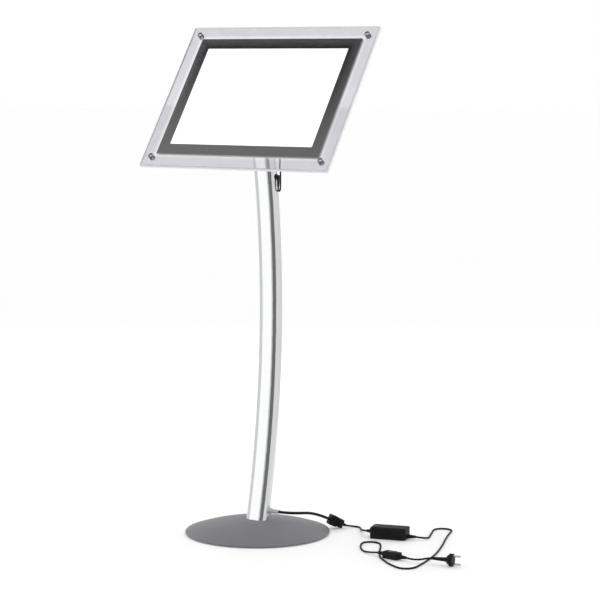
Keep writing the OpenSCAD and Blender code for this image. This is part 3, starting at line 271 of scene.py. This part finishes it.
# %% shader formulas
class Value:
    """An output in a shader tree that can be used in arithmetic. Without a socket it is only a start for nodes."""

    def __init__(self, tree, socket=None):
        self.tree = tree
        self.socket = socket

    def node(self, kind, settings=None, sockets=None, out=0):
        """Adds a node of any kind, sets it up, fills its inputs and returns one of its outputs."""
        made = self.tree.nodes.new(kind)
        for name, setting in (settings or {}).items():
            setattr(made, name, setting)
        for name, value in (sockets or {}).items():
            feed(made.inputs[name], value)
        return Value(self.tree, made.outputs[out])

    def math(self, operation, *values):
        return self.node("ShaderNodeMath", {"operation": operation}, dict(enumerate(values)))

    def __add__(self, other):
        return self.math("ADD", self, other)

    def __sub__(self, other):
        return self.math("SUBTRACT", self, other)

    def __rsub__(self, other):
        return self.math("SUBTRACT", other, self)

    def __mul__(self, other):
        return self.math("MULTIPLY", self, other)

    def __abs__(self):
        return self.math("ABSOLUTE", self)

    __radd__ = __add__
    __rmul__ = __mul__

    def ramp(self, low, high, start=0.0, stop=1.0):
        """A smooth step from start to stop as this value goes from low to high."""
        return self.node(
            "ShaderNodeMapRange", {"interpolation_type": "SMOOTHSTEP"},
            {"Value": self, "From Min": low, "From Max": high, "To Min": start, "To Max": stop},
        )

    def blend(self, first, second):
        """A mix of two colours, with this value as the factor."""
        return self.node("ShaderNodeMix", {"data_type": "RGBA"}, {0: self, 6: first, 7: second}, 2)

    def part(self, axis):
        """One coordinate of a vector: 0, 1 or 2."""
        return self.node("ShaderNodeSeparateXYZ", None, {0: self}, axis)

    def stretched(self, x, y, z):
        return self.node("ShaderNodeVectorMath", {"operation": "MULTIPLY"}, {0: self, 1: (x, y, z)})

    def scaled(self, factor):
        return self.node("ShaderNodeVectorMath", {"operation": "SCALE"}, {0: self, "Scale": factor})

    def along(self, direction):
        """How far a place lies in a direction: the dot product of the two."""
        return self.node("ShaderNodeVectorMath", {"operation": "DOT_PRODUCT"}, {0: self, 1: direction}, 1)

    def noise(self, scale, detail=2.0):
        return self.node("ShaderNodeTexNoise", None, {"Vector": self, "Scale": scale, "Detail": detail})

    def bump(self, strength, depth):
        return self.node("ShaderNodeBump", None, {"Height": self, "Strength": strength, "Distance": depth})


def feed(socket, value):
    """Fills an input with a formula, a number or a colour."""
    if isinstance(value, Value):
        value.tree.links.new(value.socket, socket)
    elif getattr(socket, "type", "") == "RGBA" and len(value) == 3:
        socket.default_value = (*value, 1.0)
    else:
        socket.default_value = value


# %% [markdown]
# A material asks for two things: the formulas of its inputs, and the place on the object that they start from. Object
# coordinates are used for the place, because all solids share one frame and so a grain has the same size on each. A
# second finish can be mixed in by which way the surface faces. On an inner face Blender turns the normal to the viewer,
# so it is turned back there, and a face keeps its finish from both sides.

# %% from formulas to a material
finishes = {}


def material(name, build, edge=None, where=None):
    """A material whose inputs come from build, a function of the place on the object in metres.
    With edge, another such function, it is mixed with a second finish by the factor that where gives."""
    made = bpy.data.materials.new(name)
    made.use_nodes = True
    tree = made.node_tree
    shader = tree.nodes["Principled BSDF"]
    start = Value(tree)
    place = start.node("ShaderNodeTexCoord", out="Object")
    for socket, value in build(place).items():
        feed(shader.inputs[socket], value)
    if edge:
        inside = start.node("ShaderNodeNewGeometry", out="Backfacing")
        facing = start.node("ShaderNodeNewGeometry", out="True Normal").scaled(1.0 - 2.0 * inside)
        second = start.node("ShaderNodeBsdfPrincipled", None, edge(place, facing))
        both = start.node(
            "ShaderNodeMixShader", None, {0: where(facing), 1: Value(tree, shader.outputs[0]), 2: second}
        )
        feed(tree.nodes["Material Output"].inputs["Surface"], both)
    return made


def finish(name, build, edge=None, where=None):
    finishes[name] = material(name, build, edge, where)
    print("finish:", name)


# %% [markdown]
# ## Satin paint
# The foot and the tilt bracket are powder coated. The baked powder is faintly cloudy and has a skin like orange peel,
# with little shine. The skin could be displaced geometry, but it is far finer than the mesh, so a bump is enough.

# %% satin paint
def satin_paint(colour, lighter):
    def build(place):
        cloud = place.noise(9.0, 3.0)
        peel = place.noise(900.0, 1.0)
        return {
            "Base Color": cloud.ramp(0.3, 0.7).blend(colour, lighter),
            "Roughness": 0.42 + 0.08 * cloud,
            "Specular IOR Level": 0.16,
            "Normal": peel.bump(0.08, 0.0004),
        }
    return build


finish("satin_grey_paint", satin_paint((0.218, 0.216, 0.236), (0.234, 0.232, 0.252)))
finish("bracket_paint", satin_paint((0.2, 0.205, 0.22), (0.23, 0.235, 0.25)))

# %% [markdown]
# ## Drawn and turned metal
# The post is a drawn tube, anodised and nearly as bright as a mirror. Drawing leaves fine lines along it. Anisotropic
# reflections would be one way to show them. A noise that is stretched along the post is simpler, and it also shows in
# the colour.

# %% the post
def anodised(place):
    lines = place.stretched(1400, 1400, 5).noise(1.0, 2.0)
    return {
        "Base Color": lines.ramp(0.3, 0.7).blend((0.86, 0.865, 0.875), (0.92, 0.925, 0.93)),
        "Metallic": 1.0,
        "Roughness": 0.12 + 0.08 * lines,
    }


finish("anodised_aluminium", anodised)

# %% [markdown]
# Screws, caps, contacts and pins are small turned or pressed pieces. They need no lines, only a little wear that makes
# the shine uneven, so one formula serves them all and only colour and roughness change.

# %% small metal pieces
def bright_metal(colour, lighter, rough):
    def build(place):
        wear = place.noise(350.0, 3.0)
        return {
            "Base Color": wear.ramp(0.35, 0.65).blend(colour, lighter),
            "Metallic": 1.0,
            "Roughness": rough + 0.12 * wear,
        }
    return build


finish("zinc_steel", bright_metal((0.5, 0.5, 0.52), (0.62, 0.62, 0.64), 0.22))
finish("turned_cap", bright_metal((0.2, 0.2, 0.21), (0.28, 0.28, 0.29), 0.25))
finish("contact_brass", bright_metal((0.62, 0.46, 0.2), (0.75, 0.58, 0.28), 0.25))
finish("nickel_pin", bright_metal((0.66, 0.65, 0.63), (0.76, 0.75, 0.73), 0.15))

# %% [markdown]
# The weight in the foot is cast iron, rough from the sand. Nobody sees it unless the stand is lifted, so a strong bump
# on a dark skin is enough.

# %% cast weight
def cast(place):
    skin = place.noise(180.0, 4.0)
    return {
        "Base Color": skin.ramp(0.3, 0.7).blend((0.05, 0.05, 0.052), (0.1, 0.1, 0.105)),
        "Roughness": 0.75 + 0.15 * skin,
        "Normal": skin.bump(0.4, 0.001),
    }


finish("cast_weight", cast)

# %% [markdown]
# ## Moulded plastic and rubber
# The leads, housings, glands, feet and the cover behind the panel come out of a mould, and the mould leaves a fine
# grain. Black plastic is never quite black: it keeps a little colour and a soft shine, and both vary over a few
# centimetres.

# %% moulded pieces
def moulded(colour, lighter, rough, grain, shine=0.5):
    def build(place):
        cloud = place.noise(40.0, 2.0)
        fine = place.noise(grain, 1.0)
        return {
            "Base Color": cloud.ramp(0.3, 0.7).blend(colour, lighter),
            "Roughness": rough + 0.1 * cloud,
            "Specular IOR Level": shine,
            "Normal": fine.bump(0.15, 0.0003),
        }
    return build


finish("black_rubber", moulded((0.012, 0.012, 0.012), (0.02, 0.02, 0.02), 0.6, 1500.0, 0.3))
finish("black_cord", moulded((0.007, 0.007, 0.007), (0.012, 0.012, 0.0125), 0.45, 1600.0, 0.2))
finish("black_plastic", moulded((0.005, 0.005, 0.0055), (0.01, 0.01, 0.0105), 0.45, 1300.0, 0.2))
finish("rocker_plastic", moulded((0.05, 0.05, 0.052), (0.07, 0.07, 0.073), 0.25, 1500.0, 0.5))
finish("washer_fibre", moulded((0.04, 0.04, 0.04), (0.06, 0.06, 0.06), 0.7, 900.0))
finish("grey_gland", moulded((0.5, 0.5, 0.51), (0.56, 0.56, 0.57), 0.4, 1200.0))
finish("grey_back", moulded((0.345, 0.35, 0.365), (0.355, 0.36, 0.375), 0.45, 900.0))

# %% [markdown]
# ## The panel
# The panel leans back, and its finishes have to know which way it faces and where the dark border ends. The lean is one
# angle, and the border is measured on its own mesh.

# %% how the panel stands
LEAN = math.radians(36)
PANEL_FACING = Vector((0.0, -math.cos(LEAN), math.sin(LEAN)))
PANEL_UP = Vector((0.0, math.sin(LEAN), math.cos(LEAN)))
mask_points = [v.co for v in nodes["mask_frame"].data.vertices]
MASK_HALF_W = max(p.x for p in mask_points)
MASK_LOW = min(p.dot(PANEL_UP) for p in mask_points)
MASK_TOP = max(p.dot(PANEL_UP) for p in mask_points)
print("border:", round(2 * MASK_HALF_W, 3), "by", round(MASK_TOP - MASK_LOW, 3), "m")

# %% [markdown]
# The front sheet and the light guide are clear acrylic. Full transmission would be all there is to it, but a lit guide
# also loses a little light just outside the border, and there it glows faintly.

# %% clear sheets
def clear_sheet(place):
    haze = place.noise(30.0, 2.0)
    rise = place.along(PANEL_UP)
    beside = abs(place.part(0)) - MASK_HALF_W
    below = abs(rise - (MASK_TOP + MASK_LOW) / 2) - (MASK_TOP - MASK_LOW) / 2
    outside = beside.math("MAXIMUM", beside, below)
    leak = outside.ramp(-0.001, 0.0) * outside.ramp(0.002, 0.012, 1.0, 0.0)
    return {
        "Base Color": haze.ramp(0.3, 0.7).blend((0.82, 0.82, 0.845), (0.84, 0.84, 0.86)),
        "Roughness": 0.01 + 0.02 * haze,
        "IOR": 1.49,
        "Transmission Weight": 1.0,
        "Emission Color": leak.blend((0.0, 0.0, 0.0), (1.0, 1.0, 1.0)),
        "Emission Strength": 0.05,
    }


# %% [markdown]
# The edges of the sheets are sawn and polished. Light that runs inside the sheet comes out there, most of all at the
# top, so the edges are a second finish that isn't clear. It is mixed in wherever the surface turns away from the front.

# %% polished edges
def polished_edge(place, facing):
    saw = place.noise(400.0, 2.0)
    lit = facing.along(PANEL_UP).ramp(0.3, 0.8)
    return {
        "Base Color": saw.blend((0.72, 0.72, 0.75), (0.8, 0.8, 0.82)),
        "Roughness": 0.2 + 0.1 * saw,
        "Emission Color": lit.blend((0.12, 0.12, 0.13), (1.0, 1.0, 1.0)),
        "Emission Strength": 0.6,
    }


def off_face(facing):
    return abs(facing.along(PANEL_FACING)).ramp(0.9, 0.5)


finish("clear_acrylic", clear_sheet, polished_edge, off_face)

# %% [markdown]
# The border is dark ink on film, the window is a blank poster that is lit from behind, and white films lie behind both.
# Lamps inside the guide could light the poster, but that takes many samples. Here the poster itself shines, at a
# strength of one, which is white.

# %% border, poster and films
def printed_border(place):
    ink = place.noise(500.0, 2.0)
    return {
        "Base Color": ink.ramp(0.3, 0.7).blend((0.028, 0.028, 0.029), (0.034, 0.034, 0.035)),
        "Roughness": 0.45 + 0.1 * ink,
    }


def lit_film(place):
    glow = place.noise(4.0, 1.0)
    return {
        "Base Color": (0.9, 0.9, 0.9),
        "Roughness": 0.6,
        "Emission Color": glow.ramp(0.2, 0.8).blend((0.97, 0.97, 0.97), (1.0, 1.0, 1.0)),
        "Emission Strength": 1.0,
    }


def white_film(place):
    fibre = place.noise(220.0, 2.0)
    return {
        "Base Color": fibre.ramp(0.3, 0.7).blend((0.8, 0.8, 0.8), (0.88, 0.88, 0.88)),
        "Roughness": 0.55 + 0.1 * fibre,
    }


finish("dark_border", printed_border)
finish("blank_poster", lit_film)
finish("lamp_board", white_film)
finish("white_film", white_film)

# %% [markdown]
# ## Inside the housings
# The boards inside the panel and the power pack are green, with lighter tracks where the copper lies under the lacquer.
# The middle line of a smooth noise looks much like such tracks. The small lens on the pack glows when it has current.

# %% boards and lens
def circuit_board(place):
    tracks = place.noise(260.0, 0.0)
    line = abs(tracks - 0.5).ramp(0.02, 0.03)
    return {
        "Base Color": line.blend((0.12, 0.3, 0.16), (0.03, 0.13, 0.07)),
        "Roughness": 0.3 + 0.2 * line,
    }


def green_lens(place):
    depth = place.noise(600.0, 1.0)
    return {
        "Base Color": depth.blend((0.1, 0.45, 0.18), (0.2, 0.6, 0.3)),
        "Roughness": 0.15 + 0.1 * depth,
        "Emission Color": depth.blend((0.05, 0.4, 0.12), (0.1, 0.6, 0.2)),
        "Emission Strength": 0.3,
    }


finish("green_board", circuit_board)
finish("green_lens", green_lens)

# %% [markdown]
# ## Dressing the solids
# The record that came with the solids says which finish each one has, so the finishes are handed out in one loop.

# %% hand out the finishes
for part in frame["record"]["subparts"]:
    mesh = nodes[part["node"]].data
    mesh.materials.clear()
    mesh.materials.append(finishes[part["material_slot"]])
for made in leads:
    made.data.materials.append(finishes["black_cord"])

# %% [markdown]
# Where the flat of the post runs into its round sides, the mesh has long thin triangles, and bright metal shows every
# one of them. A finer mesh would hide them. A weighted normal modifier does it without one: it lets the large faces
# decide the shading and leaves the mesh as it is.

# %% even shading
for name in ("post_tube", "base_cover"):
    even = nodes[name].modifiers.new("even_shading", "WEIGHTED_NORMAL")
    even.weight = 100
    even.keep_sharp = True
    print(name, "is shaded by its large faces")

# %% [markdown]
# ## The studio
# The stand is on a white floor in a white room, and only the shade close to the stand darkens the floor. The floor is a
# pale colour with a little glow for the eye, which comes from the Light Path node and lights nothing. Bright metal that
# mirrors a white floor would vanish in front of it, so a mirrored floor is a little greyer.

# %% floor
def stage_piece(name, corners, faces):
    """A piece of the studio that isn't part of the stand."""
    data = bpy.data.meshes.new(name)
    data.from_pydata(corners, [], faces)
    made = bpy.data.objects.new(name, data)
    scene.collection.objects.link(made)
    return made


def ray_kind(tree, *kinds):
    """One for the rays of any of these kinds, nought for the others."""
    found, *others = (Value(tree).node("ShaderNodeLightPath", out=kind) for kind in kinds)
    for other in others:
        found = found.math("MAXIMUM", found, other)
    return found


def white_floor(place):
    cloud = place.noise(1.5, 2.0)
    seen = ray_kind(place.tree, "Is Camera Ray", "Is Transmission Ray", "Is Glossy Ray")
    mirrored = ray_kind(place.tree, "Is Glossy Ray")
    white = cloud.blend((0.95, 0.95, 0.95), (0.97, 0.97, 0.97))
    return {
        "Base Color": mirrored.blend(white, (0.72, 0.72, 0.73)),
        "Roughness": 0.7 + 0.1 * cloud,
        "Specular IOR Level": 0.0,
        "Emission Color": seen.blend((0.0, 0.0, 0.0), (1.0, 1.0, 1.0)),
        "Emission Strength": 0.12,
    }


FAR = 40.0
floor = stage_piece("floor", [(-FAR, -FAR, 0), (FAR, -FAR, 0), (FAR, FAR, 0), (-FAR, FAR, 0)], [(0, 1, 2, 3)])
floor.data.materials.append(material("white_floor", white_floor))
print("floor:", 2 * FAR, "m wide")

# %% [markdown]
# Metal shows the room more than itself. A photographer puts cards round a bright tube to draw its edges, and so does
# this cell: seven standing arcs go round the stand, bright where the flat of the post mirrors them, dark towards the
# camera, grey elsewhere. Only reflections see them, so they neither light the stand nor hide it.

# %% cards
CARD_RADIUS = 1.6
CARD_STEPS = 40


def card(name, first, last, high, strength):
    """A standing arc between two bearings in degrees, counted from the front towards +X."""
    corners = []
    for k in range(CARD_STEPS + 1):
        bearing = math.radians(first + (last - first) * k / CARD_STEPS)
        x, y = CARD_RADIUS * math.sin(bearing), -CARD_RADIUS * math.cos(bearing)
        corners += [(x, y, 0.0), (x, y, high)]
    made = stage_piece(name, corners, [(2 * k, 2 * k + 2, 2 * k + 3, 2 * k + 1) for k in range(CARD_STEPS)])
    for ray in ("camera", "diffuse", "transmission", "shadow", "volume_scatter"):
        setattr(made, "visible_" + ray, False)

    def build(place):
        edge = place.noise(2.0, 1.0)
        return {
            "Base Color": (0.0, 0.0, 0.0),
            "Specular IOR Level": 0.0,
            "Emission Color": edge.blend((0.97, 0.97, 0.97), (1.0, 1.0, 1.0)),
            "Emission Strength": strength,
        }

    made.data.materials.append(material(name, build))
    print(name, "from", first, "to", last, "degrees")


card("left_card", -120, -43, 2.2, 0.66)
card("bright_card", -43, -28, 2.2, 1.15)
card("grey_card", -28, -8, 1.6, 0.62)
card("dark_card", -8, 50, 1.6, 0.15)
card("right_card", 50, 115, 1.6, 0.74)
card("rear_side_card", 115, 172, 1.6, 0.7)
card("rear_card", 172, 240, 1.6, 0.62)

# %% [markdown]
# The room itself is the world, and it is three things at once. As a light it is soft, brighter from above, with a
# bright band low behind the stand that rims the foot. In a mirror it has grey walls and a ceiling that is bright at the
# front and dark further back: the panel mirrors it, so its dark border is lighter at the bottom than at the top. For
# the camera, and through the clear sheets, it is plain white, which is a strength of one. The Light Path node tells the
# three apart.

# %% world
world = bpy.data.worlds.new("studio")
scene.world = world
world.use_nodes = True
tree = world.node_tree
sky = Value(tree).node("ShaderNodeTexCoord", out="Generated")
up = sky.part(2)

BEHIND = (-math.sin(HEADING), math.cos(HEADING), 0.0)
low_band = up.ramp(0.24, 0.14) * sky.along(BEHIND).ramp(0.0, 0.3)
room = 0.66 + 0.22 * up + 6.0 * low_band

ceiling = sky.along((0.0, 0.88, 0.48)).ramp(0.1, 0.172, 2.5, 0.1)
walls = 0.62 + 0.1 * sky.part(0).ramp(-0.2, 0.5) + 0.3 * sky.along((0.6, 0.8, 0.0)).ramp(0.7, 0.9)
high = up.ramp(0.3, 0.6)
reflected = high * ceiling + (1.0 - high) * walls

light = room + ray_kind(tree, "Is Glossy Ray") * (reflected - room)
strength = light + ray_kind(tree, "Is Camera Ray", "Is Transmission Ray") * (1.0 - light)
background = tree.nodes["Background"]
feed(background.inputs["Color"], (1.0, 1.0, 1.0))
feed(background.inputs["Strength"], strength)
print("world nodes:", len(tree.nodes))

# %% [markdown]
# One large soft lamp, behind the stand and to its left, gives the shapes a light side. It could be a sun, but a softbox
# has soft shadows at a short distance. It stays out of reflections, because the panel would show it as a blotch.

# %% softbox
SOFTBOX_AT = Vector((-1.6, 2.5, 2.3))
SOFTBOX_AIM = Vector((0, 0, 0.7))
SOFTBOX_SIDE = 1.8
SOFTBOX_WATTS = 16
box_data = bpy.data.lights.new("softbox", "AREA")
box_data.shape = "RECTANGLE"
box_data.size = SOFTBOX_SIDE
box_data.size_y = SOFTBOX_SIDE
box_data.energy = SOFTBOX_WATTS
softbox = bpy.data.objects.new("softbox", box_data)
softbox.location = SOFTBOX_AT
softbox.rotation_euler = (SOFTBOX_AIM - SOFTBOX_AT).to_track_quat("-Z", "Y").to_euler()
softbox.visible_glossy = False
scene.collection.objects.link(softbox)
scene.view_settings.view_transform = "Standard"
print("softbox:", SOFTBOX_WATTS, "W at", [round(v, 2) for v in SOFTBOX_AT])
